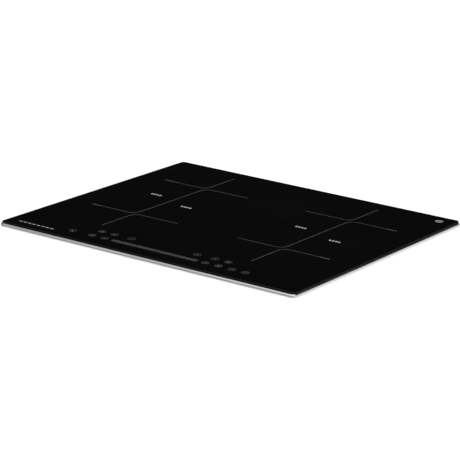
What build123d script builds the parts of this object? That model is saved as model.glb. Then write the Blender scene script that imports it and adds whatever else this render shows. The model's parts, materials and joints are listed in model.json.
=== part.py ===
from build123d import *
import math
import os

# Built-in induction cooktop: a black glass plate in a thin aluminium trim, over a flat steel housing that
# hangs in a worktop cut-out. Millimetres. Origin at the bottom centre, +X right, -Y towards the cook, +Z up.

# Overall size
WIDTH = 590.0
DEPTH = 520.0
HEIGHT = 58.0
WORKTOP_Z = 50.0                # the plane of the worktop that the trim rests on

# Glass plate, its print and its trim
PRINT_T = 0.06                  # fired enamel print on the glass
GLASS_T = 4.0
GLASS_TOP = HEIGHT - PRINT_T
GLASS_Z = GLASS_TOP - GLASS_T
GLASS_INSET = 2.0
GLASS_BEVEL = 0.5
CORNER_R = 7.5
TRIM_TOP = 54.7
TRIM_WALL = 1.9
TRIM_BEVEL = 1.7                # slope on the trim's outer top edge
SHELF_Z = 52.3
SHELF_T = 1.1
SHELF_REACH = 29.0
BEAD_WIDTH = 13.0
GASKET_WIDTH = 10.0
GASKET_GAP = 0.5

# Sheet-metal housing
SHEET = 0.8
HOUSING_W = 555.0
HOUSING_D = 485.0
FRAME_FLANGE = 9.5
FRAME_BOTTOM = 36.0
TRAY_GAP = 0.1
TRAY_W = HOUSING_W - 2 * (SHEET + TRAY_GAP)
TRAY_D = HOUSING_D - 2 * (SHEET + TRAY_GAP)
TRAY_FLOOR = 5.0
TRAY_TOP = 50.0
TRAY_CORNER_R = 6.0
FLOOR_TOP = TRAY_FLOOR + SHEET
FOOT_X = 235.0
FOOT_Y = 225.0
FOOT_R = 14.0
FOOT_TIP_R = 10.0
SIDE_SCREW_Z = 43.0
WELD_FLANGE = 9.0

# Cooking zones: two on each side, one behind the other
ZONE_X = 151.3
ZONE_Y = {"front": -75.7, "back": 132.4}
ZONE_REACH = 90.4
LINE_W = 0.85                   # printed zone lines
SIDES = {"left": -1, "right": 1}
COIL_R = 92.0
CARRIER_Z = 45.5
CARRIER_T = 2.0
WINDING_IN = 22.0
WINDING_OUT = 89.0
WINDING_T = 4.0
TURNS = 18
FERRITES = 8
PLATE_Z = 40.0
PLATE_T = 1.5
DISC_Z = 51.7
DISC_T = 1.9
LEAD_R = 1.8

# Plain white signs on the glass
DASH_ROW = (-270.0, -197.0)
DASH_Y = -237.4
DASH_W = 2.0
DASHES = 8
DASH_SHARE = 0.7                # the part of each step that a dash fills
MARK_BARS = 4
MARK_PITCH = 5.8
MARK_BAR = (3.6, 5.0)
MARK_SHIFT = 43.2               # from the middle of a zone pair to its marks
MARK_Y = (43.6, 13.5)
COIL_SIGN = (267.5, 231.5)

# Touch controls
KEY_ROW_FRONT = -222.5
KEY_ROW_BACK = -195.7
KEY_X = 101.3                   # the pair of keys beside the slider
KEY_PITCH = 25.8
KEY_MINUS_X = 66.5
KEY_R = 6.3
SLIDER_HALF = 85.2
SLIDER_W = 8.6
STROKE = 0.5
CONTROL_Z = 46.5
BOARD_T = 1.6

# Power electronics and cooling
BOARD_Z = 12.0
BOARD_TOP = BOARD_Z + BOARD_T
SINK_TOP = 38.0
FAN_Y = 160.0
FAN_SHIFT = -22.0
FAN_R = 50.0
FAN_WALL = 1.5
FAN_TOP = 31.0
IMPELLER_R = 42.0
BLADES = 28
SHAFT_R = 1.5
RUNNING_FIT = 0.05

# Terminal compartment in the back wall
COVER_HALF = 48.0
HINGE_Y = 243.2
HINGE_Z = 9.0
KNUCKLE_R = 1.5
PIN_R = 0.7
INLET_X = 66.0
INLET_Z = 20.0
INLET_R = 6.5

# Swivel clamps in pockets of the side walls
POCKET_DEPTH = 22.0
POCKET_Y = 175.0
POCKET_HALF = 35.0
CLAMP_X = 266.0
CLAMP_Y = 197.0
CLAMP_SCREW_R = 2.5
ARM_LENGTH = 45.0
ARM_HALF = 8.0
ARM_Z = 7.6
ARM_T = 1.5
NUT_Z = 4.7

CORNERS = {
    "front_left": (-1, -1),
    "front_right": (1, -1),
    "back_left": (-1, 1),
    "back_right": (1, 1),
}

os.makedirs("parts", exist_ok=True)


def slab(x0, x1, y0, y1, z0, z1):
    """Box given by its limits, in any order."""
    centre = Pos((x0 + x1) / 2, (y0 + y1) / 2, (z0 + z1) / 2)
    return centre * Box(abs(x1 - x0), abs(y1 - y0), abs(z1 - z0))


def disc(x, y, z0, z1, radius):
    """Upright cylinder between two heights."""
    return Pos(x, y, (z0 + z1) / 2) * Cylinder(radius, z1 - z0)


def washer(x, y, z0, z1, inner, outer):
    """Upright tube between two heights."""
    return disc(x, y, z0, z1, outer) - disc(x, y, z0 - 1, z1 + 1, inner)


def rod_y(x, z, y0, y1, radius):
    """Cylinder along Y."""
    return Pos(x, (y0 + y1) / 2, z) * Rot(90, 0, 0) * Cylinder(radius, abs(y1 - y0))


def rod_x(y, z, x0, x1, radius):
    """Cylinder along X."""
    return Pos((x0 + x1) / 2, y, z) * Rot(0, 90, 0) * Cylinder(radius, abs(x1 - x0))


def plate(width, depth, radius, z0, z1):
    """Flat plate with rounded corners, centred on the origin."""
    return Pos(0, 0, z0) * extrude(RectangleRounded(width, depth, radius), z1 - z0)


def hoop(width, depth, radius, band, z0, z1):
    """Flat rectangular ring whose band runs inwards from the given outline."""
    inner_r = max(radius - band, 1.0)
    return plate(width, depth, radius, z0, z1) - plate(
        width - 2 * band, depth - 2 * band, inner_r, z0 - 1, z1 + 1
    )


def tube(points, bend, radius):
    """Round wire along straight runs joined by tangent arcs."""
    path = FilletPolyline(*points, radius=bend)
    return sweep(Plane(origin=path @ 0, z_dir=path % 0) * Circle(radius), path=path)


def group(shapes):
    """Separate solids kept together as one node."""
    return Compound([solid for shape in shapes for solid in shape.solids()])


def mitred(ring):
    """A closed ring cut through its corners at 45 degrees into four lengths."""
    half = (WIDTH - DEPTH) / 2
    far_x = WIDTH
    far_y = far_x - half
    lengths = []
    for turn in (-1, 1):
        long_side = Polygon((-far_x, turn * far_y), (far_x, turn * far_y), (half, 0), (-half, 0), align=None)
        short_side = Polygon((turn * far_x, -far_y), (turn * far_x, far_y), (turn * half, 0), align=None)
        lengths.append(ring & extrude(long_side, HEIGHT, both=True))
        lengths.append(ring & extrude(short_side, HEIGHT, both=True))
    return group(lengths)


def save(shape, name):
    export_step(shape, f"parts/{name}.step")


# ---------------------------------------------------------------- glass, print and trim

def glass_top():
    glass = plate(
        WIDTH - 2 * GLASS_INSET, DEPTH - 2 * GLASS_INSET, CORNER_R - GLASS_INSET, GLASS_Z, GLASS_TOP
    )
    return chamfer(glass.edges().group_by(Axis.Z)[-1], GLASS_BEVEL)


def edge_trim():
    """Four mitred lengths of one profile: sloped edge, upright face and a shelf under the glass."""
    inner_w = WIDTH - 2 * TRIM_WALL
    inner_d = DEPTH - 2 * TRIM_WALL
    inner_r = CORNER_R - TRIM_WALL
    trim = plate(WIDTH, DEPTH, CORNER_R, WORKTOP_Z, TRIM_TOP)
    trim = chamfer(trim.edges().group_by(Axis.Z)[-1], TRIM_BEVEL)
    trim -= plate(inner_w, inner_d, inner_r, SHELF_Z + SHELF_T, HEIGHT)
    trim -= plate(inner_w, inner_d, inner_r, WORKTOP_Z - 1, SHELF_Z)
    opening_w = WIDTH - 2 * SHELF_REACH
    opening_d = DEPTH - 2 * SHELF_REACH
    return mitred(trim - plate(opening_w, opening_d, 6, WORKTOP_Z, HEIGHT))


def glass_adhesive():
    inset = TRIM_WALL + 0.9
    return hoop(
        WIDTH - 2 * inset, DEPTH - 2 * inset, CORNER_R - inset, BEAD_WIDTH, SHELF_Z + SHELF_T, GLASS_Z
    )


def worktop_gasket():
    inset = TRIM_WALL + GASKET_GAP
    strip = hoop(
        WIDTH - 2 * inset, DEPTH - 2 * inset, CORNER_R - inset, GASKET_WIDTH, WORKTOP_Z, SHELF_Z
    )
    return mitred(strip)


def stroke_path(points, bend, width):
    """Flat line of constant width along straight runs with rounded corners."""
    path = FilletPolyline(*points, radius=bend) if bend else Polyline(*points)
    return extrude(trace(path, width), PRINT_T)


def zone_lines(x, flip):
    """The three open lines that mark the two zones of one side; flip is the side of the bold ends."""
    left = x - ZONE_REACH
    right = x + ZONE_REACH
    back = ZONE_Y["back"]
    front = ZONE_Y["front"]
    bend = 15.0
    width = LINE_W
    lines = [
        stroke_path([(left, back), (x, back), (x, back + ZONE_REACH)], bend, width),
        stroke_path([(left, front), (x, front), (x, back), (right, back)], bend, width),
        stroke_path([(x, front - ZONE_REACH), (x, front), (right, front)], bend, width),
    ]
    tip = x + flip * ZONE_REACH
    for y in (back, front):
        bold = slab(tip, tip - flip * 20, y - LINE_W, y + LINE_W, 0, PRINT_T)
        lines = [line - bold for line in lines] + [bold]
    return lines


def zone_mark(x, y):
    """Row of small bars: the sign for two zones used as one."""
    width, height = MARK_BAR
    bars = []
    for step in range(MARK_BARS):
        middle = x + (step - (MARK_BARS - 1) / 2) * MARK_PITCH
        bars.append(
            slab(middle - width / 2, middle + width / 2, y - height / 2, y + height / 2, 0, PRINT_T)
        )
    return bars


def zone_print():
    marks = zone_lines(-ZONE_X, -1) + zone_lines(ZONE_X, 1)
    return Pos(0, 0, GLASS_TOP) * group(marks)


def coil_sign(x, y):
    """Two rings round a dot: a plain sign for an induction coil."""
    sign = (Circle(6.8) - Circle(5.8)) + (Circle(4.0) - Circle(3.0)) + Circle(1.2)
    return Pos(x, y) * extrude(sign, PRINT_T)


def dash_row():
    """Evenly spaced dashes along the front edge."""
    start, end = DASH_ROW
    pitch = (end - start) / (DASHES - 1 + DASH_SHARE)
    dashes = []
    for step in range(DASHES):
        x = start + step * pitch
        dashes.append(
            slab(x, x + DASH_SHARE * pitch, DASH_Y - DASH_W / 2, DASH_Y + DASH_W / 2, 0, PRINT_T)
        )
    return dashes


def sign_print():
    """White signs: marks beside the zones, a row of dashes at the front and a coil sign at the back."""
    marks = dash_row()
    for side in SIDES.values():
        for turn, y in zip((-1, 1), MARK_Y):
            marks += zone_mark(side * ZONE_X + turn * MARK_SHIFT, y)
    marks.append(coil_sign(*COIL_SIGN))
    return Pos(0, 0, GLASS_TOP) * group(marks)


KEY_CORNER = {"zone_a": (-1.6, -1.6), "zone_b": (-1.6, 1.6), "zone_c": (1.6, 1.6), "zone_d": (1.6, -1.6)}


def bar(x, y, width, height):
    return Pos(x, y) * Rectangle(width, height)


def key_symbol(kind):
    """Plain signs inside the key rings, drawn about the key's centre."""
    arc_ring = Circle(3.2) - Circle(3.2 - STROKE)
    if kind == "power":
        return arc_ring - bar(0, 2.8, 2.6, 3) + bar(0, 2.4, STROKE, 3.2)
    if kind == "plus":
        return bar(0, 0, 6, STROKE) + bar(0, 0, STROKE, 6)
    if kind == "minus":
        return bar(0, 0, 6, STROKE)
    if kind == "pause":
        return bar(-1.4, 0, 0.9, 5.4) + bar(1.4, 0, 0.9, 5.4)
    if kind == "clock":
        return arc_ring + bar(0, 0.9, STROKE, 2.4) + bar(0.9, 0, 2.4, STROKE)
    if kind == "lock":
        shackle = (Circle(1.9) - Circle(1.9 - STROKE)) - bar(0, -2, 6, 4)
        return bar(0, -1.5, 4.8, 3.2) + Pos(0, 0.05) * shackle
    if kind == "levels":
        return bar(-2.2, -1.2, 1.0, 2.6) + bar(0, -0.45, 1.0, 4.1) + bar(2.2, 0.3, 1.0, 5.6)
    squares = [bar(sx * 1.6, sy * 1.6, 2.3, 2.3) for sx in (-1, 1) for sy in (-1, 1)]
    hollow = bar(*KEY_CORNER[kind], 1.2, 1.2)
    return squares[0] + squares[1] + squares[2] + squares[3] - hollow


KEYS = [
    (-KEY_X - KEY_MINUS_X, KEY_ROW_FRONT, "lock"),
    (-KEY_X - KEY_PITCH, KEY_ROW_FRONT, "zone_a"),
    (-KEY_X, KEY_ROW_FRONT, "pause"),
    (KEY_X, KEY_ROW_FRONT, "levels"),
    (KEY_X + KEY_PITCH, KEY_ROW_FRONT, "zone_d"),
    (KEY_X + 2 * KEY_PITCH, KEY_ROW_FRONT, "clock"),
    (KEY_X + 3 * KEY_PITCH, KEY_ROW_FRONT, "power"),
    (-KEY_X - KEY_PITCH, KEY_ROW_BACK, "zone_b"),
    (-KEY_X, KEY_ROW_BACK, "levels"),
    (-KEY_MINUS_X, KEY_ROW_BACK, "minus"),
    (KEY_MINUS_X, KEY_ROW_BACK, "plus"),
    (KEY_X, KEY_ROW_BACK, "pause"),
    (KEY_X + KEY_PITCH, KEY_ROW_BACK, "zone_c"),
]


def slider_marks():
    """The power slider: a long bar of narrow upright dashes between two thin rails."""
    marks = []
    for side in (-1, 1):
        y = KEY_ROW_FRONT + side * (SLIDER_W / 2 - STROKE / 2)
        marks.append(slab(-SLIDER_HALF, SLIDER_HALF, y - STROKE / 2, y + STROKE / 2, 0, PRINT_T))
    dash_half = SLIDER_W / 2 - 2 * STROKE
    count = 58
    pitch = (2 * SLIDER_HALF - 2) / count
    for step in range(count + 1):
        x = -SLIDER_HALF + 1 + step * pitch
        marks.append(slab(x - 0.5, x + 0.5, KEY_ROW_FRONT - dash_half, KEY_ROW_FRONT + dash_half, 0, PRINT_T))
    return marks


def control_print():
    marks = slider_marks()
    for x, y, kind in KEYS:
        ring = Circle(KEY_R) - Circle(KEY_R - STROKE)
        marks.append(Pos(x, y) * extrude(ring, PRINT_T))
        marks.append(Pos(x, y) * extrude(key_symbol(kind), PRINT_T))
    return Pos(0, 0, GLASS_TOP) * group(marks)


# ---------------------------------------------------------------- sheet-metal housing

def side_screw_spots():
    """Places of the screws through the frame wall: x, y and outward direction."""
    spots = [(side * 215, end * HOUSING_D / 2, (0, end)) for side in (-1, 1) for end in (-1, 1)]
    spots += [(side * 110, HOUSING_D / 2, (0, 1)) for side in (-1, 1)]
    spots += [(side * HOUSING_W / 2, y, (side, 0)) for side in (-1, 1) for y in (-100, 0, 100)]
    return spots


def along(x, y, direction, start, end, radius, z):
    """Level cylinder from start to end, measured outwards from a point on a wall."""
    dx, dy = direction
    if dx:
        return rod_x(y, z, x + dx * start, x + dx * end, radius)
    return rod_y(x, z, y + dy * start, y + dy * end, radius)


def support_frame():
    frame = hoop(HOUSING_W, HOUSING_D, TRAY_CORNER_R + SHEET, SHEET, FRAME_BOTTOM, SHELF_Z - SHEET)
    frame += hoop(HOUSING_W, HOUSING_D, TRAY_CORNER_R + SHEET, FRAME_FLANGE, SHELF_Z - SHEET, SHELF_Z)
    for x, y, direction in side_screw_spots():
        frame -= along(x, y, direction, -5, 2, 1.75, SIDE_SCREW_Z)
    return mitred(frame)


def housing_screws():
    screws = []
    for x, y, direction in side_screw_spots():
        shank = along(x, y, direction, -6.5, 0, 1.7, SIDE_SCREW_Z)
        head = along(x, y, direction, 0, 1.9, 3.2, SIDE_SCREW_Z)
        recess = along(x, y, direction, 1.1, 3, 1.1, SIDE_SCREW_Z)
        screws.append(shank + head - recess)
    return group(screws)


def pocket_cuts(grow, z0, z1):
    """The four clamp pockets, each grown inwards by a wall thickness when asked."""
    inner = TRAY_W / 2 - POCKET_DEPTH - grow
    half = POCKET_HALF + grow
    cuts = []
    for side, end in CORNERS.values():
        y = end * POCKET_Y
        cuts.append(slab(side * inner, side * TRAY_W, y - half, y + half, z0, z1))
    return cuts


def fan_x(side):
    return side * ZONE_X + FAN_SHIFT


def intake_slots(x):
    """Parallel slots that fill a circle under a fan."""
    slots = []
    for step in range(-4, 5):
        offset = step * 7.5
        half = math.sqrt(34.0 ** 2 - offset ** 2)
        slots.append(slab(x + offset - 1.8, x + offset + 1.8, FAN_Y - half, FAN_Y + half, 4, 7))
    return slots


def wall_slots():
    """Upright vent slots in the front wall and the two side walls."""
    slots = []
    for step in range(-20, 21):
        x = step * 11.0
        slots.append(slab(x - 1.8, x + 1.8, -TRAY_D / 2 - 2, -TRAY_D / 2 + 2, 12, 32))
    for side in (-1, 1):
        for step in range(-8, 9):
            y = step * 11.0
            slots.append(slab(side * (TRAY_W / 2 - 2), side * (TRAY_W / 2 + 2), y - 1.8, y + 1.8, 12, 32))
    return slots


def foot_press(inset, z0, z1):
    """Tapered foot pressed down from the floor; inset shrinks it for the hollow side."""
    cone = Cone(FOOT_TIP_R - inset, FOOT_R - inset, z1 - z0)
    spots = [(sx * FOOT_X, sy * FOOT_Y) for sx in (-1, 1) for sy in (-1, 1)]
    return [Pos(x, y, (z0 + z1) / 2) * cone for x, y in spots]


def cover_ears():
    """Two pairs of ears on the back wall that hold the cover's hinge pin."""
    wall = TRAY_D / 2
    ears = []
    for side in (-1, 1):
        for inner in (13.5, 30.5):
            x0 = side * inner
            x1 = side * (inner + 6)
            ear = rod_x(HINGE_Y, HINGE_Z, x0, x1, KNUCKLE_R)
            ear += slab(x0, x1, wall - 0.2, HINGE_Y, HINGE_Z - 1.2, HINGE_Z + 1.2)
            ears.append(ear)
    return ears


def tray_shell():
    """Floor, walls, clamp pockets and feet in one, before the sheets are parted."""
    tray = plate(TRAY_W, TRAY_D, TRAY_CORNER_R, TRAY_FLOOR, TRAY_TOP)
    tray -= pocket_cuts(0, 0, HEIGHT)
    hollow = plate(TRAY_W - 2 * SHEET, TRAY_D - 2 * SHEET, TRAY_CORNER_R - SHEET, FLOOR_TOP, HEIGHT)
    hollow -= pocket_cuts(SHEET, 0, HEIGHT)
    tray -= hollow
    tray += foot_press(0, 0, TRAY_FLOOR)
    tray -= foot_press(SHEET, SHEET, FLOOR_TOP)
    for x, y, direction in side_screw_spots():
        tray -= along(x, y, direction, -5, 2, 1.75, SIDE_SCREW_Z)
    return tray - wall_slots()


SHELL = tray_shell()
WALL_END = TRAY_D / 2 - TRAY_CORNER_R
POCKET_NEAR = POCKET_Y - POCKET_HALF - SHEET
POCKET_FAR = POCKET_Y + POCKET_HALF + SHEET
POCKET_X = TRAY_W / 2 - POCKET_DEPTH - SHEET


def base_tray():
    """Pressed floor with its feet and fan intakes."""
    floor = SHELL & slab(-WIDTH, WIDTH, -DEPTH, DEPTH, 0, FLOOR_TOP)
    return floor - intake_slots(fan_x(-1)) - intake_slots(fan_x(1))


def end_walls():
    """Front wall with vents, and back wall with the terminal window, the cable hole and the hinge ears."""
    front = SHELL & slab(-WIDTH, WIDTH, -DEPTH, -WALL_END, FLOOR_TOP, HEIGHT)
    back = SHELL & slab(-WIDTH, WIDTH, WALL_END, DEPTH, FLOOR_TOP, HEIGHT)
    inside = TRAY_D / 2 - SHEET
    front += slab(-250, 250, -inside, -inside + WELD_FLANGE, FLOOR_TOP, FLOOR_TOP + SHEET)
    for side in (-1, 1):
        back += slab(side * 90, side * 250, inside, inside - WELD_FLANGE, FLOOR_TOP, FLOOR_TOP + SHEET)
    back += cover_ears()
    back -= slab(-44, 44, TRAY_D / 2 - 2, TRAY_D / 2 + 0.5, 12.5, 33)
    back -= rod_y(INLET_X, INLET_Z, TRAY_D / 2 - 2, TRAY_D / 2 + 1, 9)
    back -= rod_x(HINGE_Y, HINGE_Z, -40, 40, PIN_R)
    return group([front, back])


def side_walls():
    """Straight lengths of the side walls between and beyond the clamp pockets."""
    walls = []
    for side in (-1, 1):
        inside = side * (TRAY_W / 2 - SHEET)
        outside = side * TRAY_W
        middle = SHELL & slab(inside, outside, -POCKET_NEAR, POCKET_NEAR, FLOOR_TOP, HEIGHT)
        flange = slab(inside, inside - side * WELD_FLANGE, -130, 130, FLOOR_TOP, FLOOR_TOP + SHEET)
        walls.append(middle + flange)
        for end in (-1, 1):
            walls.append(SHELL & slab(inside, outside, end * POCKET_FAR, end * WALL_END, FLOOR_TOP, HEIGHT))
    return group(walls)


def clamp_pockets():
    """Folded sheets, open outwards, that set the swivel clamps back from the side walls."""
    pockets = []
    for side, end in CORNERS.values():
        inner = side * POCKET_X
        outer = side * TRAY_W
        pockets.append(SHELL & slab(inner, outer, end * POCKET_NEAR, end * POCKET_FAR, FLOOR_TOP, HEIGHT))
    return group(pockets)


# ---------------------------------------------------------------- coils under the glass

def coil_plate(side):
    inner = side * 54
    outer = side * 250
    shield = slab(inner, outer, -176, 232, PLATE_Z, PLATE_Z + PLATE_T)
    for edge, inward in ((inner, side), (outer, -side)):
        shield += slab(edge, edge + inward * PLATE_T, -176, 232, PLATE_Z - 6, PLATE_Z)
        for y in (-160, 80, 218):
            shield += slab(edge, edge + inward * PLATE_T, y - 9, y + 9, FLOOR_TOP, PLATE_Z)
    for y in ZONE_Y.values():
        shield -= disc(side * ZONE_X, y, PLATE_Z - 1, PLATE_Z + 3, 6)
    for x, y in lead_spots(side):
        shield -= disc(x, y, PLATE_Z - 1, PLATE_Z + 3, 3.5)
    return shield


def lead_spots(side):
    """Where the coil leads drop to the power board."""
    return [(side * ZONE_X + dx, y) for dx in (67, 76) for y in (22, 36)]


def coil_carrier(x, y):
    top = CARRIER_Z + CARRIER_T
    carrier = disc(x, y, CARRIER_Z, top, COIL_R)
    carrier += washer(x, y, CARRIER_Z, top + WINDING_T, COIL_R - 2, COIL_R)
    carrier += washer(x, y, top, top + WINDING_T, WINDING_IN - 2.5, WINDING_IN - 0.6)
    windows = []
    for step in range(FERRITES):
        angle = 2 * math.pi * step / FERRITES
        windows.append(disc(x + 58 * math.cos(angle), y + 58 * math.sin(angle), CARRIER_Z - 1, top + 1, 10))
    return carrier - windows - disc(x, y, CARRIER_Z - 1, top + 1, 4)


def coil_winding(x, y):
    """Flat pancake of litz wire, its turns seen as ridges."""
    pitch = (WINDING_OUT - WINDING_IN) / TURNS
    wire = WINDING_T / 2
    section = Sketch()
    for turn in range(TURNS):
        radius = WINDING_IN + (turn + 0.5) * pitch
        section += Plane.XZ * Pos(radius, CARRIER_Z + CARRIER_T + wire) * Circle(wire)
    inside = Plane.XZ * Pos((WINDING_IN + WINDING_OUT) / 2, CARRIER_Z + CARRIER_T + wire)
    section = section & inside * Rectangle(WINDING_OUT - WINDING_IN, WINDING_T)
    return Pos(x, y, 0) * revolve(section, Axis.Z)


def ferrite_bars(centres):
    bars = []
    for x, y in centres:
        for step in range(FERRITES):
            turn = Rot(0, 0, 360 * (step + 0.5) / FERRITES)
            bars.append(Pos(x, y, 0) * turn * slab(26, 84, -6, 6, PLATE_Z + PLATE_T, CARRIER_Z))
    return group(bars)


def insulation_discs(centres):
    return group([washer(x, y, DISC_Z, DISC_Z + DISC_T, 12, COIL_R) for x, y in centres])


def temperature_sensors(centres):
    """Sensor buttons held against the glass, each with a stem through its carrier."""
    sensors = []
    for x, y in centres:
        button = disc(x, y, 51.6, GLASS_Z - 0.04, 8)
        button += disc(x, y, 43, 51.6, 3.5)
        sensors.append(button)
    return group(sensors)


def sensor_springs(centres):
    wire = 0.45
    height = 51.6 - CARRIER_Z - CARRIER_T - 2 * wire
    path = Helix(pitch=height / 3, height=height, radius=5.5)
    coil = sweep(Plane(origin=path @ 0, z_dir=path % 0) * Circle(wire), path=path, is_frenet=True)
    return group([Pos(x, y, CARRIER_Z + CARRIER_T + wire) * coil for x, y in centres])


def coil_leads():
    leads = []
    for side in SIDES.values():
        cx = side * ZONE_X
        for dx, start in ((67, 56), (76, 65)):
            for y, toward, name in ((36, -1, "back"), (22, 1, "front")):
                reach = math.sqrt((COIL_R + LEAD_R + 0.4) ** 2 - start ** 2)
                points = [
                    (cx + start, ZONE_Y[name] + toward * reach, 47),
                    (cx + dx, y, 47),
                    (cx + dx, y, BOARD_TOP),
                ]
                leads.append(tube(points, 8, LEAD_R))
    return leads


# ---------------------------------------------------------------- touch controls

def control_carrier():
    tray = slab(-188, 188, -239, -184, 38, CONTROL_Z)
    tray -= slab(-185, 185, -236, -187, 40, CONTROL_Z + 1)
    for x in (-120, -60, 0, 60, 120):
        tray += slab(x - 1, x + 1, -236, -187, 40, CONTROL_Z)
    return tray


def control_board():
    board = slab(-188, 188, -239, -184, CONTROL_Z, CONTROL_Z + BOARD_T)
    for x in (-182, 182):
        for y in (-233, -190):
            board -= disc(x, y, CONTROL_Z - 1, CONTROL_Z + 3, 1.7)
    return board


def touch_pads():
    """Conductive foam posts between the board and the glass, one under each key and slider step."""
    low = CONTROL_Z + BOARD_T
    spots = [(x, y) for x, y, kind in KEYS]
    spots += [(x, KEY_ROW_FRONT) for x in (-75, -45, -15, 15, 45, 75)]
    return group([disc(x, y, low, GLASS_Z, 4.5) for x, y in spots])


def display_modules():
    low = CONTROL_Z + BOARD_T
    modules = []
    for x in (-24, 24):
        body = slab(x - 20, x + 20, -206, -188, low, GLASS_Z - 0.6)
        for digit in (-9, 9):
            body -= slab(x + digit - 6, x + digit + 6, -203, -191, GLASS_Z - 1.4, GLASS_Z)
            body += slab(x + digit - 4, x + digit + 4, -198, -196, GLASS_Z - 1.5, GLASS_Z - 0.9)
        modules.append(body)
    return group(modules)


def control_cable():
    """Flat cable from the touch board back to the filter board."""
    points = [(0, -184, 42), (0, -172, 42), (0, -150, 8), (0, 56, 8), (0, 58.5, 18), (0, 70, 18)]
    outline = trace(Polyline(*[(y, z) for _, y, z in points]), 1.0)
    return extrude(Plane.YZ.offset(-7) * outline, 14)


# ---------------------------------------------------------------- power electronics

def board_holes(side):
    cx = side * ZONE_X
    return [(cx + dx, y) for dx in (-74, 74) for y in (-104, 88)]


FILTER_HOLES = [(dx, y) for dx in (-44, 44) for y in (76, 164)]


def drilled_board(x0, x1, y0, y1, holes):
    board = slab(x0, x1, y0, y1, BOARD_Z, BOARD_TOP)
    for x, y in holes:
        board -= disc(x, y, BOARD_Z - 1, BOARD_TOP + 1, 1.7)
    return board


def power_board(side):
    cx = side * ZONE_X
    return drilled_board(cx - 80, cx + 80, -110, 95, board_holes(side))


def filter_board():
    return drilled_board(-50, 50, 70, 170, FILTER_HOLES)


def all_board_holes():
    return board_holes(-1) + board_holes(1) + FILTER_HOLES


def board_standoffs():
    return group([washer(x, y, FLOOR_TOP, BOARD_Z, 1.55, 4) for x, y in all_board_holes()])


def board_screws():
    screws = []
    for x, y in all_board_holes():
        screw = disc(x, y, BOARD_TOP, BOARD_TOP + 1.8, 2.8) + disc(x, y, 7, BOARD_TOP, 1.5)
        screw -= slab(x - 2, x + 2, y - 0.4, y + 0.4, BOARD_TOP + 1, BOARD_TOP + 2)
        screws.append(screw)
    return screws


def heat_sink(side):
    """Finned aluminium block beside the power transistors."""
    cx = side * ZONE_X
    sink = slab(cx - 38, cx + 38, -50, 92, BOARD_TOP, BOARD_TOP + 4)
    count = 11
    for step in range(count):
        x = cx - 38 + step * (76 - 1.8) / (count - 1)
        sink += slab(x, x + 1.8, -50, 92, BOARD_TOP, SINK_TOP)
    return sink


def power_transistors():
    devices = []
    for side in SIDES.values():
        x = side * ZONE_X + 38
        for y in (-38, -4, 30, 64):
            body = slab(x, x + 5, y - 8, y + 8, 16, 36) - rod_x(y, 32, x - 1, x + 6, 1.8)
            for leg in (-5.5, 0, 5.5):
                body += slab(x + 2, x + 2.8, y + leg - 0.6, y + leg + 0.6, BOARD_TOP, 16)
            devices.append(body)
    return group(devices)


def film_capacitors():
    caps = []
    for side in SIDES.values():
        x = side * ZONE_X - 60
        for y in (-78, -40, -2, 36):
            body = slab(x - 14, x + 14, y - 15, y + 15, BOARD_TOP, 37)
            caps.append(fillet(body.edges().filter_by(Axis.Z), 1.5))
    return group(caps)


def choke_coils():
    """Ring chokes lying on the power boards."""
    chokes = []
    for side in SIDES.values():
        for y in (-72, -4, 62):
            ring = Pos(side * ZONE_X + 61, y, BOARD_TOP + 6) * Torus(10.5, 4.5)
            chokes.append(ring + washer(side * ZONE_X + 61, y, BOARD_TOP, BOARD_TOP + 3, 7, 12))
    return group(chokes)


def filter_components():
    parts = [washer(-24, 96, BOARD_TOP, 33, 8, 18)]
    parts += [slab(8, 42, y - 7, y + 7, BOARD_TOP, 32) for y in (90, 110)]
    parts += [disc(-34 + 14 * step, 128, BOARD_TOP, 26, 5) for step in range(3)]
    parts.append(slab(8, 40, 124, 144, BOARD_TOP, 30))
    parts.append(slab(-30, 30, 150, 160, BOARD_TOP, 24))
    return group(parts)


# ---------------------------------------------------------------- cooling fans

def fan_housing(side):
    x = fan_x(side)
    low = FLOOR_TOP
    outer = disc(x, FAN_Y, low, FAN_TOP, FAN_R) + slab(x, x + FAN_R, 98, FAN_Y, low, FAN_TOP)
    inner = disc(x, FAN_Y, low + FAN_WALL, FAN_TOP - FAN_WALL, FAN_R - FAN_WALL)
    inner += slab(x + FAN_WALL, x + FAN_R - FAN_WALL, 97, FAN_Y, low + FAN_WALL, FAN_TOP - FAN_WALL)
    return outer - inner - disc(x, FAN_Y, low - 1, low + 3, 34)


def fan_rotor(side):
    """Radial impeller: tie ring, forward-leaning blades, back disc and a hub cup on its shaft."""
    x = fan_x(side)
    rotor = washer(x, FAN_Y, 26, 27.5, 13, IMPELLER_R)
    rotor += washer(x, FAN_Y, 9, 10.5, 37, IMPELLER_R)
    rotor += washer(x, FAN_Y, 12.5, 27.5, 13, 15)
    rotor += disc(x, FAN_Y, 12.5, 14, 15)
    rotor += disc(x, FAN_Y, 12.5, 28, SHAFT_R)
    blade = Pos(37, 0, 18) * Rot(0, 0, 35) * Box(9, 1.0, 17)
    blades = [Pos(x, FAN_Y, 0) * Rot(0, 0, 360 * step / BLADES) * blade for step in range(BLADES)]
    return rotor + blades


def fan_stators():
    """Motor cores fixed under each fan's top plate; the rotor's shaft turns in them."""
    stators = []
    for side in SIDES.values():
        x = fan_x(side)
        core = washer(x, FAN_Y, 15, FAN_TOP - FAN_WALL, SHAFT_R + RUNNING_FIT, 4)
        for step in range(4):
            core += Pos(x, FAN_Y, 20.5) * Rot(0, 0, 90 * step) * Pos(7.5, 0, 0) * Box(8, 5, 9)
        core += washer(x, FAN_Y, 16, 25, 10.5, 12.3)
        stators.append(core)
    return group(stators)


# ---------------------------------------------------------------- mains terminals

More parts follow.
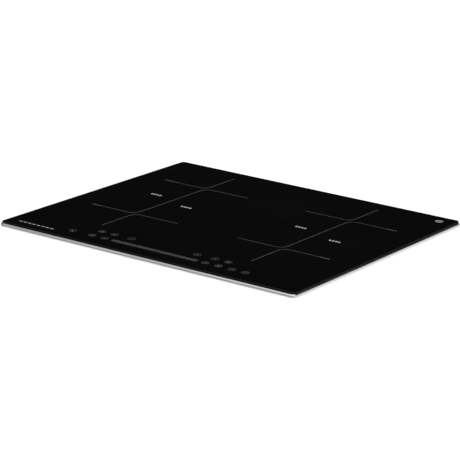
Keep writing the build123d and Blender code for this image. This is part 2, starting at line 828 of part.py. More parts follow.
def terminal_block():
    block = slab(-40, 40, 205, 238, FLOOR_TOP, 12)
    block += slab(-40, 40, 205, 228, 12, 26)
    for step in range(5):
        x = -30 + 15 * step
        block -= disc(x, 216, 19, 27, 4.5)
        block -= rod_y(x, 15.5, 222, 230, 3)
    return block


def terminal_screws():
    screws = []
    for step in range(5):
        x = -30 + 15 * step
        head = disc(x, 216, 19, 22.5, 3.6) - slab(x - 4, x + 4, 215.5, 216.5, 21.5, 23)
        screws.append(head)
    return screws


def mains_leads():
    """Short leads from the terminal block forward to the filter board."""
    leads = []
    for x in (-15, 0, 15):
        points = [(x, 205, 16), (x, 196, 16), (x, 186, 22), (x, 174, 17.5), (x, 160, 17.5)]
        leads.append(tube(points, 5, 1.6))
    return leads


def terminal_cover():
    cover = slab(-COVER_HALF, COVER_HALF, 242.0, 243.8, 10.8, 35.5)
    for z in (16, 21, 26):
        cover += slab(-38, 38, 243.8, 244.4, z, z + 1.6)
    for side in (-1, 1):
        x0 = side * 20
        x1 = side * 30
        cover += rod_x(HINGE_Y, HINGE_Z, x0, x1, KNUCKLE_R)
        cover += slab(x0, x1, 242.4, 243.8, HINGE_Z + 0.9, 11.2)
    return cover - rod_x(HINGE_Y, HINGE_Z, -40, 40, PIN_R + RUNNING_FIT)


def cover_hinge_pin():
    return rod_x(HINGE_Y, HINGE_Z, -37, 37, PIN_R)


def cable_grommet():
    """Rubber-lined inlet for the mains cable, clipped into the back wall."""
    wall = TRAY_D / 2
    grommet = rod_y(INLET_X, INLET_Z, wall - SHEET, wall, 9)
    grommet += rod_y(INLET_X, INLET_Z, wall, wall + 2.2, 11.5)
    grommet += rod_y(INLET_X, INLET_Z, wall - SHEET - 2.2, wall - SHEET, 11.5)
    return grommet - rod_y(INLET_X, INLET_Z, wall - 8, wall + 8, INLET_R)


# ---------------------------------------------------------------- swivel clamps

def clamp_brackets():
    """C-shaped brackets on the pocket walls; their two lugs hold the clamp screws."""
    wall = TRAY_W / 2 - POCKET_DEPTH
    brackets = []
    for side, end in CORNERS.values():
        y = end * CLAMP_Y
        bracket = slab(side * wall, side * (wall + 1.5), y - 12, y + 12, 3.2, 31)
        for low in (3.2, 29.8):
            bracket += slab(side * wall, side * (CLAMP_X + 7), y - 9, y + 9, low, low + 1.2)
        brackets.append(bracket - disc(side * CLAMP_X, y, 2, 33, 2.7))
    return group(brackets)


def clamp_screws():
    screws = []
    for side, end in CORNERS.values():
        x = side * CLAMP_X
        y = end * CLAMP_Y
        screw = disc(x, y, 3.2, 33, CLAMP_SCREW_R) + disc(x, y, 0.7, 3.2, 4.6)
        screw -= slab(x - 2.6, x + 2.6, y - 0.5, y + 0.5, 0, 2.2)
        screw -= slab(x - 0.5, x + 0.5, y - 2.6, y + 2.6, 0, 2.2)
        screws.append(screw)
    return group(screws)


def clamp_nut(side, end):
    """Nut that climbs the clamp screw, with a shouldered boss for the arm."""
    x = side * CLAMP_X
    y = end * CLAMP_Y
    nut = slab(x - side * 8.3, x + side * 7, y - 7, y + 7, NUT_Z, ARM_Z - 0.1)
    nut += disc(x, y, NUT_Z, ARM_Z + ARM_T + 0.1, 4.5)
    nut += disc(x, y, ARM_Z + ARM_T + 0.1, ARM_Z + ARM_T + 0.9, 6)
    return nut - disc(x, y, 0, 20, CLAMP_SCREW_R + RUNNING_FIT)


def clamp_arm(side, end):
    """Flat arm parked along the side wall, toothed at its tip; it swings out under the worktop."""
    arm = disc(0, 0, ARM_Z, ARM_Z + ARM_T, ARM_HALF)
    arm += slab(-ARM_HALF, ARM_HALF, 0, ARM_LENGTH, ARM_Z, ARM_Z + ARM_T)
    arm = fillet(arm.edges().filter_by(Axis.Z).sort_by(Axis.Y)[-2:], 3)
    for y in (36, 40):
        arm += slab(-6, 6, y, y + 1.2, ARM_Z + ARM_T, ARM_Z + ARM_T + 1)
    arm -= disc(0, 0, 0, 20, 4.5 + RUNNING_FIT)
    return Pos(side * CLAMP_X, end * CLAMP_Y, 0) * Rot(0, 0, 0 if end < 0 else 180) * arm


# ---------------------------------------------------------------- write every node

ZONES = {
    f"{end}_{name}": (side * ZONE_X, y)
    for name, side in SIDES.items()
    for end, y in ZONE_Y.items()
}
CENTRES = list(ZONES.values())

save(glass_top(), "glass_top")
save(zone_print(), "zone_print")
save(sign_print(), "sign_print")
save(control_print(), "control_print")
save(edge_trim(), "edge_trim")
save(glass_adhesive(), "glass_adhesive")
save(worktop_gasket(), "worktop_gasket")
save(support_frame(), "support_frame")
save(housing_screws(), "housing_screws")
save(base_tray(), "base_tray")
save(end_walls(), "end_walls")
save(side_walls(), "side_walls")
save(clamp_pockets(), "clamp_pockets")

for zone, (zone_x, zone_y) in ZONES.items():
    save(coil_winding(zone_x, zone_y), f"coil_winding_{zone}")
    save(coil_carrier(zone_x, zone_y), f"coil_carrier_{zone}")
save(ferrite_bars(CENTRES), "ferrite_bars")
save(insulation_discs(CENTRES), "insulation_discs")
save(temperature_sensors(CENTRES), "temperature_sensors")
save(sensor_springs(CENTRES), "sensor_springs")

for name, side in SIDES.items():
    save(coil_plate(side), f"coil_plate_{name}")
    save(fan_rotor(side), f"fan_rotor_{name}")
save(group([power_board(side) for side in SIDES.values()]), "power_boards")
save(group([heat_sink(side) for side in SIDES.values()]), "heat_sinks")
save(group([fan_housing(side) for side in SIDES.values()]), "fan_housings")
save(fan_stators(), "fan_stators")
save(power_transistors(), "power_transistors")
save(film_capacitors(), "film_capacitors")
save(choke_coils(), "choke_coils")
save(filter_board(), "filter_board")
save(filter_components(), "filter_components")
save(board_standoffs(), "board_standoffs")
save(group(board_screws() + terminal_screws()), "small_screws")

save(control_carrier(), "control_carrier")
save(control_board(), "control_board")
save(touch_pads(), "touch_pads")
save(display_modules(), "display_modules")
save(control_cable(), "control_cable")

save(terminal_block(), "terminal_block")
save(group(coil_leads() + mains_leads()), "power_leads")
save(terminal_cover(), "terminal_cover")
save(cover_hinge_pin(), "cover_hinge_pin")
save(cable_grommet(), "cable_grommet")

save(clamp_brackets(), "clamp_brackets")
save(clamp_screws(), "clamp_screws")
for corner, (side, end) in CORNERS.items():
    save(clamp_nut(side, end), f"clamp_nut_{corner}")
    save(clamp_arm(side, end), f"clamp_arm_{corner}")
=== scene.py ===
import json
import math

import bmesh
import bpy
from mathutils import Matrix, Vector


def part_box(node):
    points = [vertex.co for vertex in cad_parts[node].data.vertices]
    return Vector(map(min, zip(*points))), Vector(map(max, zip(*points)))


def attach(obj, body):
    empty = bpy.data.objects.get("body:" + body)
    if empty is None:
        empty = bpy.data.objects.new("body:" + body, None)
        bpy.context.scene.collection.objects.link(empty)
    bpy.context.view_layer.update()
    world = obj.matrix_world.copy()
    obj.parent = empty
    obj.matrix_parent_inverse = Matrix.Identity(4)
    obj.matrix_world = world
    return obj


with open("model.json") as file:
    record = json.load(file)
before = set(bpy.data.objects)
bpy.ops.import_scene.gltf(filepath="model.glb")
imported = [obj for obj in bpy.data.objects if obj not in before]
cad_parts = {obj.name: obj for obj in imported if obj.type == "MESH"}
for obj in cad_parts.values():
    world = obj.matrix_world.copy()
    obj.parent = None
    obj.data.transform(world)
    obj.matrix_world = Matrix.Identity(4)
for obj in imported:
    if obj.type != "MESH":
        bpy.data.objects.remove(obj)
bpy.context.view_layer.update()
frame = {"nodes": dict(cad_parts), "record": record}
NODES = frame["nodes"]
MM = 0.001

# ---------------------------------------------------------------- camera and studio

GLASS_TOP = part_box("glass_top")[1].z
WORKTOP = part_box("edge_trim")[0].z
VIEW_AZIMUTH = math.radians(34.39)
VIEW_ELEVATION = math.radians(16.64)
VIEW_ROLL = math.radians(1.99)
VIEW_DISTANCE = 3.6958
VIEW_TARGET = Vector((0.0262, -0.0467, GLASS_TOP - 0.0004))
LENS_MM = 173.5
SENSOR_MM = 36.0
CLIP_END = 60.0
CUTOUT_WIDTH = 0.560
CUTOUT_DEPTH = 0.490
STUDIO_RADIUS = 9.0
STUDIO_SIDES = 96
DOME_RINGS = 24
DOME_RADIUS = 0.99 * STUDIO_RADIUS
DOME_LIGHT = 1.2


def make_camera():
    """Long lens on the line of sight that the azimuth, elevation and roll give."""
    back = Vector((
        math.sin(VIEW_AZIMUTH) * math.cos(VIEW_ELEVATION),
        -math.cos(VIEW_AZIMUTH) * math.cos(VIEW_ELEVATION),
        math.sin(VIEW_ELEVATION),
    ))
    level = Vector((math.cos(VIEW_AZIMUTH), math.sin(VIEW_AZIMUTH), 0))
    upright = back.cross(level)
    right = level * math.cos(VIEW_ROLL) + upright * math.sin(VIEW_ROLL)
    up = upright * math.cos(VIEW_ROLL) - level * math.sin(VIEW_ROLL)
    data = bpy.data.cameras.new("camera")
    data.lens = LENS_MM
    data.sensor_width = SENSOR_MM
    data.sensor_fit = "HORIZONTAL"
    data.clip_end = CLIP_END
    camera = bpy.data.objects.new("camera", data)
    turn = Matrix((right, up, back)).transposed().to_4x4()
    camera.matrix_world = Matrix.Translation(VIEW_TARGET + back * VIEW_DISTANCE) @ turn
    bpy.context.scene.collection.objects.link(camera)
    bpy.context.scene.camera = camera


def link_mesh(name, verts, faces, smooth=False):
    """New object from points and faces, with its faces turned outwards."""
    mesh = bpy.data.meshes.new(name)
    mesh.from_pydata([tuple(v) for v in verts], [], faces)
    mesh.validate()
    obj = bpy.data.objects.new(name, mesh)
    bpy.context.scene.collection.objects.link(obj)
    tidy = bmesh.new()
    tidy.from_mesh(mesh)
    bmesh.ops.recalc_face_normals(tidy, faces=tidy.faces)
    tidy.to_mesh(mesh)
    tidy.free()
    for polygon in mesh.polygons:
        polygon.use_smooth = smooth
    return obj


def make_worktop():
    """Pale worktop with the standard cut-out."""
    half_w = CUTOUT_WIDTH / 2
    half_d = CUTOUT_DEPTH / 2
    count = STUDIO_SIDES
    inner = []
    outer = []
    for step in range(count):
        angle = 2 * math.pi * (step + 0.5) / count
        c, s = math.cos(angle), math.sin(angle)
        reach = min(half_w / max(abs(c), 1e-6), half_d / max(abs(s), 1e-6))
        inner.append((c * reach, s * reach, WORKTOP))
        outer.append((c * STUDIO_RADIUS, s * STUDIO_RADIUS, WORKTOP))
    faces = [
        (i, (i + 1) % count, count + (i + 1) % count, count + i) for i in range(count)
    ]
    floor = link_mesh("worktop", inner + outer, faces)
    floor.data.materials.append(floor_material())
    return floor


def make_dome():
    """White dome that lights the object evenly."""
    count = STUDIO_SIDES
    verts = []
    faces = []
    for ring in range(DOME_RINGS + 1):
        lift = math.radians(-90 + 180 * ring / DOME_RINGS)
        for step in range(count):
            angle = 2 * math.pi * step / count
            verts.append((
                DOME_RADIUS * math.cos(lift) * math.cos(angle),
                DOME_RADIUS * math.cos(lift) * math.sin(angle),
                DOME_RADIUS * math.sin(lift),
            ))
    for ring in range(DOME_RINGS):
        for step in range(count):
            a = ring * count + step
            b = ring * count + (step + 1) % count
            faces.append((a, b, b + count, a + count))
    dome = link_mesh("dome", verts, faces, smooth=True)
    dome.data.materials.append(dome_material())
    return dome


def make_studio():
    """The floor and the dome light the object, and reflections see the world instead."""
    for piece in (make_worktop(), make_dome()):
        piece.visible_glossy = False


# ---------------------------------------------------------------- materials

class Shader:
    """A material's node tree, with short calls for the nodes used here."""

    def __init__(self, name):
        self.material = bpy.data.materials.new(name)
        self.material.use_nodes = True
        self.nodes = self.material.node_tree.nodes
        self.links = self.material.node_tree.links
        self.bsdf = self.nodes["Principled BSDF"]

    def add(self, kind, **settings):
        node = self.nodes.new(kind)
        for key, value in settings.items():
            setattr(node, key, value)
        return node

    def coords(self, stretch=(1, 1, 1)):
        """The part's own coordinates in metres, stretched along the axes."""
        source = self.add("ShaderNodeTexCoord")
        mapping = self.add("ShaderNodeMapping")
        mapping.inputs["Scale"].default_value = stretch
        self.links.new(source.outputs["Object"], mapping.inputs["Vector"])
        return mapping.outputs["Vector"]

    def noise(self, vector, scale, detail=3.0):
        node = self.add("ShaderNodeTexNoise")
        node.inputs["Scale"].default_value = scale
        node.inputs["Detail"].default_value = detail
        self.links.new(vector, node.inputs["Vector"])
        return node.outputs["Fac"]

    def cells(self, vector, scale, feature="F1", output="Color"):
        node = self.add("ShaderNodeTexVoronoi", feature=feature)
        node.inputs["Scale"].default_value = scale
        self.links.new(vector, node.inputs["Vector"])
        return node.outputs[output]

    def remap(self, value, low, high, start=0.3, end=0.7):
        """Map a texture value from start..end to low..high."""
        node = self.add("ShaderNodeMapRange")
        node.inputs["From Min"].default_value = start
        node.inputs["From Max"].default_value = end
        node.inputs["To Min"].default_value = low
        node.inputs["To Max"].default_value = high
        self.links.new(value, node.inputs["Value"])
        return node.outputs["Result"]

    def shades(self, value, dark, light, start=0.3, end=0.7):
        """Colours from dark to light as a texture value goes from start to end."""
        ramp = self.add("ShaderNodeValToRGB")
        ramp.color_ramp.elements[0].position = start
        ramp.color_ramp.elements[0].color = (*dark, 1)
        ramp.color_ramp.elements[1].position = end
        ramp.color_ramp.elements[1].color = (*light, 1)
        self.links.new(value, ramp.inputs["Fac"])
        return ramp.outputs["Color"]

    def bump(self, height, distance, strength=1.0):
        node = self.add("ShaderNodeBump")
        node.inputs["Strength"].default_value = strength
        node.inputs["Distance"].default_value = distance
        self.links.new(height, node.inputs["Height"])
        self.links.new(node.outputs["Normal"], self.bsdf.inputs["Normal"])

    def set(self, **values):
        """Set the shader's own sockets; names use underscores for spaces."""
        for key, value in values.items():
            self.bsdf.inputs[key.replace("_", " ")].default_value = value

    def drive(self, socket, output):
        self.links.new(output, self.bsdf.inputs[socket])


def tone(color, factor):
    return tuple(min(1.0, c * factor) for c in color)


def moulded(
    name, color, roughness, metallic=0.0, grain=900.0, depth=0.00002, spread=0.15, stretch=(1, 1, 1)
):
    """General surface: fine grain in roughness and relief over a slow drift of tone."""
    shader = Shader(name)
    place = shader.coords(stretch)
    fine = shader.noise(place, grain, 4.0)
    slow = shader.noise(place, grain / 18, 2.0)
    shader.drive("Base Color", shader.shades(slow, tone(color, 1 - spread), tone(color, 1 + spread)))
    shader.drive("Roughness", shader.remap(fine, roughness * 0.8, min(1.0, roughness * 1.25)))
    shader.set(Metallic=metallic)
    shader.bump(fine, depth)
    return shader.material


def glass_material():
    """Polished black glass ceramic with the faintest drift of gloss, and a ground, darkened edge."""
    shader = Shader("glass_ceramic")
    place = shader.coords()
    slow = shader.noise(place, 9.0, 3.0)
    split = shader.add("ShaderNodeSeparateXYZ")
    shader.links.new(place, split.inputs[0])
    height = split.outputs["Z"]
    edge_low = GLASS_TOP - 0.0006
    edge_high = GLASS_TOP - 0.0001
    shader.drive("Base Color", shader.shades(slow, (0.0012, 0.0012, 0.0013), (0.0020, 0.0020, 0.0021)))
    shader.drive("Roughness", shader.remap(height, 0.55, 0.045, edge_low, edge_high))
    shader.drive("Specular IOR Level", shader.remap(height, 0.12, 0.5, edge_low, edge_high))
    shader.set(IOR=1.5)
    shader.bump(slow, 0.000002)
    return shader.material


def enamel_material(name, color):
    """Fired enamel print: matt, slightly grainy."""
    shader = Shader(name)
    place = shader.coords()
    fine = shader.noise(place, 4000.0, 2.0)
    shader.drive("Base Color", shader.shades(fine, tone(color, 0.9), tone(color, 1.1)))
    shader.drive("Roughness", shader.remap(fine, 0.45, 0.6))
    shader.bump(fine, 0.000004)
    return shader.material


def brushed_material():
    """Satin anodised aluminium, brushed along the trim's length."""
    shader = Shader("trim_aluminium")
    lines = shader.noise(shader.coords((6, 6, 2600)), 1.0, 3.0)
    slow = shader.noise(shader.coords(), 14.0, 2.0)
    shader.drive("Base Color", shader.shades(lines, (0.74, 0.74, 0.75), (0.86, 0.86, 0.87)))
    shader.drive("Roughness", shader.remap(slow, 0.22, 0.34))
    shader.set(Metallic=1.0)
    shader.bump(lines, 0.000006)
    return shader.material


def galvanised_material():
    """Zinc spangle: flat crystals about a centimetre across, each with its own tone and gloss."""
    shader = Shader("galvanised_sheet")
    place = shader.coords()
    crystal = shader.cells(place, 95.0)
    split = shader.add("ShaderNodeSeparateColor")
    shader.links.new(crystal, split.inputs["Color"])
    fine = shader.noise(place, 700.0, 4.0)
    shader.drive(
        "Base Color",
        shader.shades(split.outputs["Red"], (0.50, 0.52, 0.54), (0.66, 0.68, 0.69), 0.0, 1.0),
    )
    shader.drive("Roughness", shader.remap(split.outputs["Green"], 0.30, 0.48, 0.0, 1.0))
    shader.set(Metallic=1.0)
    shader.bump(fine, 0.00001)
    return shader.material


def board_material():
    """Solder mask over copper tracks, which show as lighter right-angled lines."""
    shader = Shader("circuit_board")
    place = shader.coords()
    tracks = shader.add("ShaderNodeTexVoronoi", feature="F1", distance="CHEBYCHEV")
    tracks.inputs["Scale"].default_value = 140.0
    shader.links.new(place, tracks.inputs["Vector"])
    shader.drive(
        "Base Color",
        shader.shades(tracks.outputs["Distance"], (0.012, 0.085, 0.035), (0.03, 0.17, 0.07), 0.42, 0.46),
    )
    shader.drive("Roughness", shader.remap(shader.noise(place, 500.0), 0.25, 0.4))
    shader.bump(tracks.outputs["Distance"], 0.00003)
    return shader.material


def litz_material():
    """Twisted enamelled copper strands running round the winding."""
    shader = Shader("litz_copper")
    place = shader.coords()
    twist = shader.noise(place, 1800.0, 2.0)
    slow = shader.noise(place, 60.0, 2.0)
    shader.drive("Base Color", shader.shades(twist, (0.36, 0.11, 0.035), (0.78, 0.34, 0.15)))
    shader.drive("Roughness", shader.remap(slow, 0.25, 0.4))
    shader.set(Metallic=0.9)
    shader.bump(twist, 0.0001)
    return shader.material


def floor_material():
    shader = Shader("pale_floor")
    place = shader.coords()
    fine = shader.noise(place, 300.0, 3.0)
    shader.drive("Base Color", shader.shades(fine, (0.93, 0.93, 0.93), (0.95, 0.95, 0.95)))
    shader.set(Roughness=0.9, Specular_IOR_Level=0.0)
    return shader.material


def dome_material():
    shader = Shader("white_dome")
    glow = shader.add("ShaderNodeEmission")
    glow.inputs["Strength"].default_value = DOME_LIGHT
    shader.links.new(glow.outputs[0], shader.nodes["Material Output"].inputs["Surface"])
    return shader.material


SLOT_MATERIALS = {
    "glass": glass_material,
    "print": lambda: enamel_material("enamel_grey", (0.092, 0.092, 0.094)),
    "white_print": lambda: enamel_material("enamel_white", (0.42, 0.42, 0.42)),
    "trim": brushed_material,
    "silicone": lambda: moulded("silicone_black", (0.03, 0.03, 0.03), 0.6),
    "foam": lambda: moulded("closed_cell_foam", (0.05, 0.05, 0.052), 0.9, grain=1400, depth=0.0002),
    "galvanised_steel": galvanised_material,
    "screw_steel": lambda: moulded("zinc_plate", (0.66, 0.66, 0.67), 0.28, 1.0, grain=1500),
    "spring_steel": lambda: moulded("spring_wire", (0.55, 0.55, 0.56), 0.3, 1.0, grain=1500),
    "clamp_steel": lambda: moulded("yellow_zinc", (0.66, 0.58, 0.36), 0.35, 1.0, grain=600, spread=0.2),
    "nut_steel": lambda: moulded("brass_nut", (0.68, 0.48, 0.20), 0.3, 1.0, grain=900),
    "aluminium": lambda: moulded(
        "mill_aluminium", (0.76, 0.77, 0.78), 0.36, 1.0, 300, 0.00001, spread=0.05, stretch=(12, 1, 1)
    ),
    "copper": litz_material,
    "coil_plastic": lambda: moulded("filled_nylon", (0.07, 0.07, 0.075), 0.55),
    "ferrite": lambda: moulded("ferrite_grey", (0.06, 0.06, 0.062), 0.5, 0.2, grain=1600),
    "mica": lambda: moulded("pressed_mica", (0.62, 0.56, 0.44), 0.55, grain=500, spread=0.25),
    "sensor_plastic": lambda: moulded("sensor_cap", (0.80, 0.78, 0.72), 0.5),
    "lead_sleeve": lambda: moulded("red_sleeve", (0.42, 0.05, 0.03), 0.5, grain=1200),
    "board": board_material,
    "black_plastic": lambda: moulded("black_abs", (0.025, 0.025, 0.028), 0.5, grain=1500, depth=0.00003),
    "stator": lambda: moulded("wound_core", (0.30, 0.16, 0.07), 0.4, 0.7, grain=1800, depth=0.0001),
    "capacitor": lambda: moulded("capacitor_box", (0.55, 0.36, 0.05), 0.35, grain=700),
    "choke": lambda: moulded("coated_core", (0.10, 0.13, 0.08), 0.45, grain=800),
    "display": lambda: moulded("smoked_display", (0.05, 0.012, 0.012), 0.25, grain=500),
    "ribbon": lambda: moulded("flat_cable", (0.60, 0.60, 0.58), 0.45, grain=1200, stretch=(8, 1, 1)),
    "terminal_plastic": lambda: moulded("terminal_nylon", (0.78, 0.76, 0.70), 0.4),
    "rubber": lambda: moulded("black_rubber", (0.022, 0.022, 0.022), 0.7, grain=1300, depth=0.00004),
}


def dress_nodes():
    """Give every CAD node the material of its slot."""
    made = {slot: build() for slot, build in SLOT_MATERIALS.items()}
    for entry in frame["record"]["subparts"]:
        obj = NODES[entry["node"]]
        material = made[entry["material_slot"]]
        obj.data.materials.clear()
        obj.data.materials.append(material)
    return made


# ---------------------------------------------------------------- small fixed details

def rounded(cx, cy, width, depth, radius, steps=4):
    """Outline of a rectangle with rounded corners."""
    outline = []
    for sx, sy, start in ((1, 1, 0), (-1, 1, 90), (-1, -1, 180), (1, -1, 270)):
        for step in range(steps + 1):
            angle = math.radians(start + 90 * step / steps)
            outline.append((
                cx + sx * (width / 2 - radius) + radius * math.cos(angle),
                cy + sy * (depth / 2 - radius) + radius * math.sin(angle),
            ))
    return outline


def circle(cx, cy, radius, count=28):
    turns = [2 * math.pi * step / count for step in range(count)]
    return [(cx + radius * math.cos(a), cy + radius * math.sin(a)) for a in turns]


class Solids:
    """Closed shapes in millimetres, gathered into one piece."""

    def __init__(self):
        self.verts = []
        self.faces = []

    def loft(self, loops):
        """Closed solid through loops of equally many points."""
        start = len(self.verts)
        count = len(loops[0])
        for loop in loops:
            self.verts += [Vector(point) * MM for point in loop]
        for ring in range(len(loops) - 1):
            base = start + ring * count
            for i in range(count):
                j = (i + 1) % count
                self.faces.append((base + i, base + j, base + count + j, base + count + i))
        last = len(self.verts) - count
        self.faces.append(tuple(range(start + count - 1, start - 1, -1)))
        self.faces.append(tuple(range(last, last + count)))

    def block(self, cx, cy, width, depth, low, high, radius=0.5, slope=0.3):
        """Upright block with rounded corners and a sloped edge at its high end."""
        turn = -1 if high < low else 1
        shoulder = rounded(cx, cy, width, depth, radius)
        crown = rounded(cx, cy, width - 2 * slope, depth - 2 * slope, max(radius - slope, 0.05))
        self.loft([
            [(x, y, low) for x, y in shoulder],
            [(x, y, high - turn * slope) for x, y in shoulder],
            [(x, y, high) for x, y in crown],
        ])

    def turned(self, cx, cy, profile):
        """Upright turned shape from pairs of radius and height."""
        self.loft([[(x, y, z) for x, y in circle(cx, cy, radius)] for radius, z in profile])

    def turned_x(self, cy, cz, profile):
        """Turned shape about a level line along X, from pairs of radius and x."""
        self.loft([[(x, y, z) for y, z in circle(cy, cz, radius)] for radius, x in profile])

    def fix(self, name, body, slot):
        """Make the piece, ride it on its body and give it the slot's material."""
        piece = link_mesh(name, self.verts, self.faces)
        piece.data.materials.append(MATERIALS[slot])
        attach(piece, body)


# Places in millimetres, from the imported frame
SHEET = 0.8
FLOOR_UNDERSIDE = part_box("base_tray")[1].z / MM - SHEET
BOARD_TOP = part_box("power_boards")[1].z / MM
TOUCH_BOARD_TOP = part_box("control_board")[1].z / MM
BOARD_X = 151.3                                     # under the middle of each side's coils
SWING_POS = next(
    joint["pos_m"] for joint in frame["record"]["behaviour"]["joints"]
    if joint["name"] == "clamp_swing_back_right"
)
CLAMP_Y = SWING_POS[1] / MM

# Clamp bracket rivets
BRACKET_FACE = 256.1
RIVET_Z = 19.0
RIVET_OFFSET = 9.8
RIVET_PROFILE = [(2.0, 0.0), (2.0, 0.25), (1.6, 0.6), (0.7, 0.85)]

# Beads pressed into the floor
BEAD_X = (-75, -25, 25, 75, -190, 190)
BEAD_Y = -60
BEAD_WIDTH = 11
BEAD_LENGTH = 200
BEAD_DEPTH = 1.4

# Foil plate
PLATE_X = -135
PLATE_Y = -205
PLATE_WIDTH = 86
PLATE_LENGTH = 44
PLATE_T = 0.3
PIN_X = 39
PIN_Y = 18
PIN_PROFILE = [(1.8, 0.3), (1.8, 0.55), (1.2, 0.85)]

# Parts on the boards
CAN_X = (-22, 2)
CAN_Y = -82
CAN_PROFILE = [(8.6, 0), (9, 0.6), (9, 3), (8.5, 3.6), (9, 4.2), (9, 21.4), (8.4, 22)]
CHIP_X = 28
CHIP_Y = (-66, -80, -94)
CHIP_SIZE = (18, 7)
CHIP_HEIGHT = 3.4
TOUCH_CHIP_X = (-150, -75, 75, 150)
TOUCH_CHIP_Y = -209
TOUCH_CHIP_SIZE = (10, 10)
TOUCH_CHIP_HEIGHT = 1.6
RESISTOR_Y = -103
RESISTOR_START = -36
RESISTOR_PITCH = 12
RESISTORS = 6
RESISTOR_LIFT = 1.6
RESISTOR_HALF = [(1.2, 1.7), (1.5, 2.0), (1.5, 3.2), (0.3, 3.4), (0.3, 4.2)]
RESISTOR_PROFILE = [(r, -x) for r, x in reversed(RESISTOR_HALF)] + RESISTOR_HALF


def pocket_rivets():
    """Two domed rivets through each clamp bracket."""
    rivets = Solids()
    for side in (-1, 1):
        for end in (-1, 1):
            for offset in (-RIVET_OFFSET, RIVET_OFFSET):
                rivets.turned_x(
                    end * CLAMP_Y + offset, RIVET_Z,
                    [(radius, side * (BRACKET_FACE + out)) for radius, out in RIVET_PROFILE],
                )
    rivets.fix("bracket_rivets", "housing", "screw_steel")


def floor_beads():
    """Stiffening beads pressed down from the floor, seen from below."""
    beads = Solids()
    for x in BEAD_X:
        beads.block(
            x, BEAD_Y, BEAD_WIDTH, BEAD_LENGTH,
            FLOOR_UNDERSIDE, FLOOR_UNDERSIDE - BEAD_DEPTH, radius=5.4, slope=1.3,
        )
    beads.fix("floor_beads", "housing", "galvanised_steel")


def rating_plate():
    """Blank foil plate riveted under the floor."""
    foil = Solids()
    foil.block(
        PLATE_X, PLATE_Y, PLATE_WIDTH, PLATE_LENGTH,
        FLOOR_UNDERSIDE, FLOOR_UNDERSIDE - PLATE_T, radius=3, slope=0.1,
    )
    foil.fix("rating_plate", "housing", "aluminium")
    pins = Solids()
    for dx in (-PIN_X, PIN_X):
        for dy in (-PIN_Y, PIN_Y):
            pins.turned(
                PLATE_X + dx, PLATE_Y + dy,
                [(radius, FLOOR_UNDERSIDE - drop) for radius, drop in PIN_PROFILE],
            )
    pins.fix("rating_plate_rivets", "housing", "screw_steel")


def can_capacitors():
    """Two can capacitors on each power board."""
    cans = Solids()
    for side in (-1, 1):
        for dx in CAN_X:
            cans.turned(
                side * BOARD_X + dx, CAN_Y,
                [(radius, BOARD_TOP + lift) for radius, lift in CAN_PROFILE],
            )
    cans.fix("can_capacitors", "housing", "black_plastic")


def board_chips():
    """Driver chips on the power boards and touch chips on the control board."""
    chips = Solids()
    for side in (-1, 1):
        for y in CHIP_Y:
            chips.block(
                side * BOARD_X + CHIP_X, y, *CHIP_SIZE,
                BOARD_TOP, BOARD_TOP + CHIP_HEIGHT, radius=0.4, slope=0.5,
            )
    for x in TOUCH_CHIP_X:
        chips.block(
            x, TOUCH_CHIP_Y, *TOUCH_CHIP_SIZE,
            TOUCH_BOARD_TOP, TOUCH_BOARD_TOP + TOUCH_CHIP_HEIGHT, radius=0.3, slope=0.3,
        )
    chips.fix("board_chips", "housing", "black_plastic")


def board_resistors():
    """A row of leaded resistors along the front of each power board."""
    resistors = Solids()
    for side in (-1, 1):
        for step in range(RESISTORS):
            middle = side * BOARD_X + RESISTOR_START + step * RESISTOR_PITCH
            resistors.turned_x(
                RESISTOR_Y, BOARD_TOP + RESISTOR_LIFT,
                [(radius, middle + x) for radius, x in RESISTOR_PROFILE],
            )
    resistors.fix("board_resistors", "housing", "sensor_plastic")


def add_details():
    pocket_rivets()
    floor_beads()
    rating_plate()
    can_capacitors()
    board_chips()
    board_resistors()


# ---------------------------------------------------------------- light seen in reflections

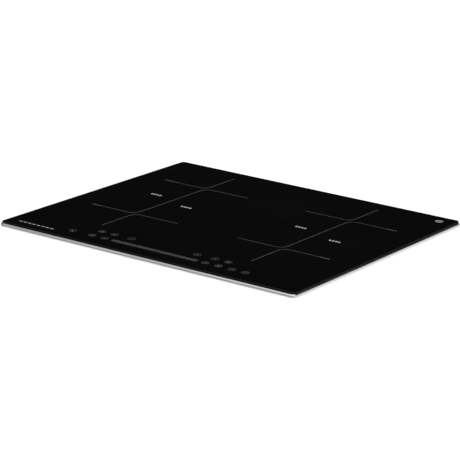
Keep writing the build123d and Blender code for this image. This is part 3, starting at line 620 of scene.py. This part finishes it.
SKY_FLOOR = 0.008                                   # the dim studio just above the horizon
SOFTBOX = 1.0                                       # overhead softbox
FLOOR_DIM = 0.42                                    # worktop seen in reflections, on the far side
FLOOR_BRIGHT = 0.80                                 # and on the key side
KEY_SIDE = Vector((0.56, 0.83, 0.0)).normalized()   # the bright side of the studio
SOFTBOX_EDGE = (0.62, 0.85)                         # rise of the softbox, as the ray's upward share
HORIZON = (-0.12, -0.02)                            # soft edge between the floor and the dim room
KEY_SPREAD = (-1.0, 0.9)                            # from the far side to the key side


def make_world():
    """What polished surfaces mirror: a dim room, a softbox overhead and a floor bright on one side."""
    world = bpy.data.worlds.new("studio")
    bpy.context.scene.world = world
    world.use_nodes = True
    world.cycles.sampling_method = "NONE"
    nodes = world.node_tree.nodes
    links = world.node_tree.links
    background = nodes["Background"]
    background.inputs["Color"].default_value = (1, 1, 1, 1)

    def math_node(operation, a, b):
        node = nodes.new("ShaderNodeMath")
        node.operation = operation
        for socket, value in zip(node.inputs, (a, b)):
            if isinstance(value, (int, float)):
                socket.default_value = value
            else:
                links.new(value, socket)
        return node.outputs[0]

    def map_range(value, start, end, low, high):
        node = nodes.new("ShaderNodeMapRange")
        node.interpolation_type = "SMOOTHSTEP"
        for key, number in zip(("From Min", "From Max", "To Min", "To Max"), (start, end, low, high)):
            node.inputs[key].default_value = number
        links.new(value, node.inputs["Value"])
        return node.outputs["Result"]

    place = nodes.new("ShaderNodeTexCoord").outputs["Generated"]
    split = nodes.new("ShaderNodeSeparateXYZ")
    links.new(place, split.inputs[0])
    toward = nodes.new("ShaderNodeVectorMath")
    toward.operation = "DOT_PRODUCT"
    toward.inputs[1].default_value = KEY_SIDE
    links.new(place, toward.inputs[0])
    overhead = map_range(split.outputs["Z"], *SOFTBOX_EDGE, 0.0, SOFTBOX)
    floor_light = map_range(toward.outputs["Value"], *KEY_SPREAD, FLOOR_DIM, FLOOR_BRIGHT)
    below = map_range(split.outputs["Z"], *HORIZON, 1.0, 0.0)
    light = math_node("ADD", math_node("MULTIPLY", floor_light, below), overhead)
    links.new(math_node("ADD", light, SKY_FLOOR), background.inputs["Strength"])


make_camera()
make_studio()
make_world()
MATERIALS = dress_nodes()
add_details()
bpy.context.scene.view_settings.view_transform = "Standard"
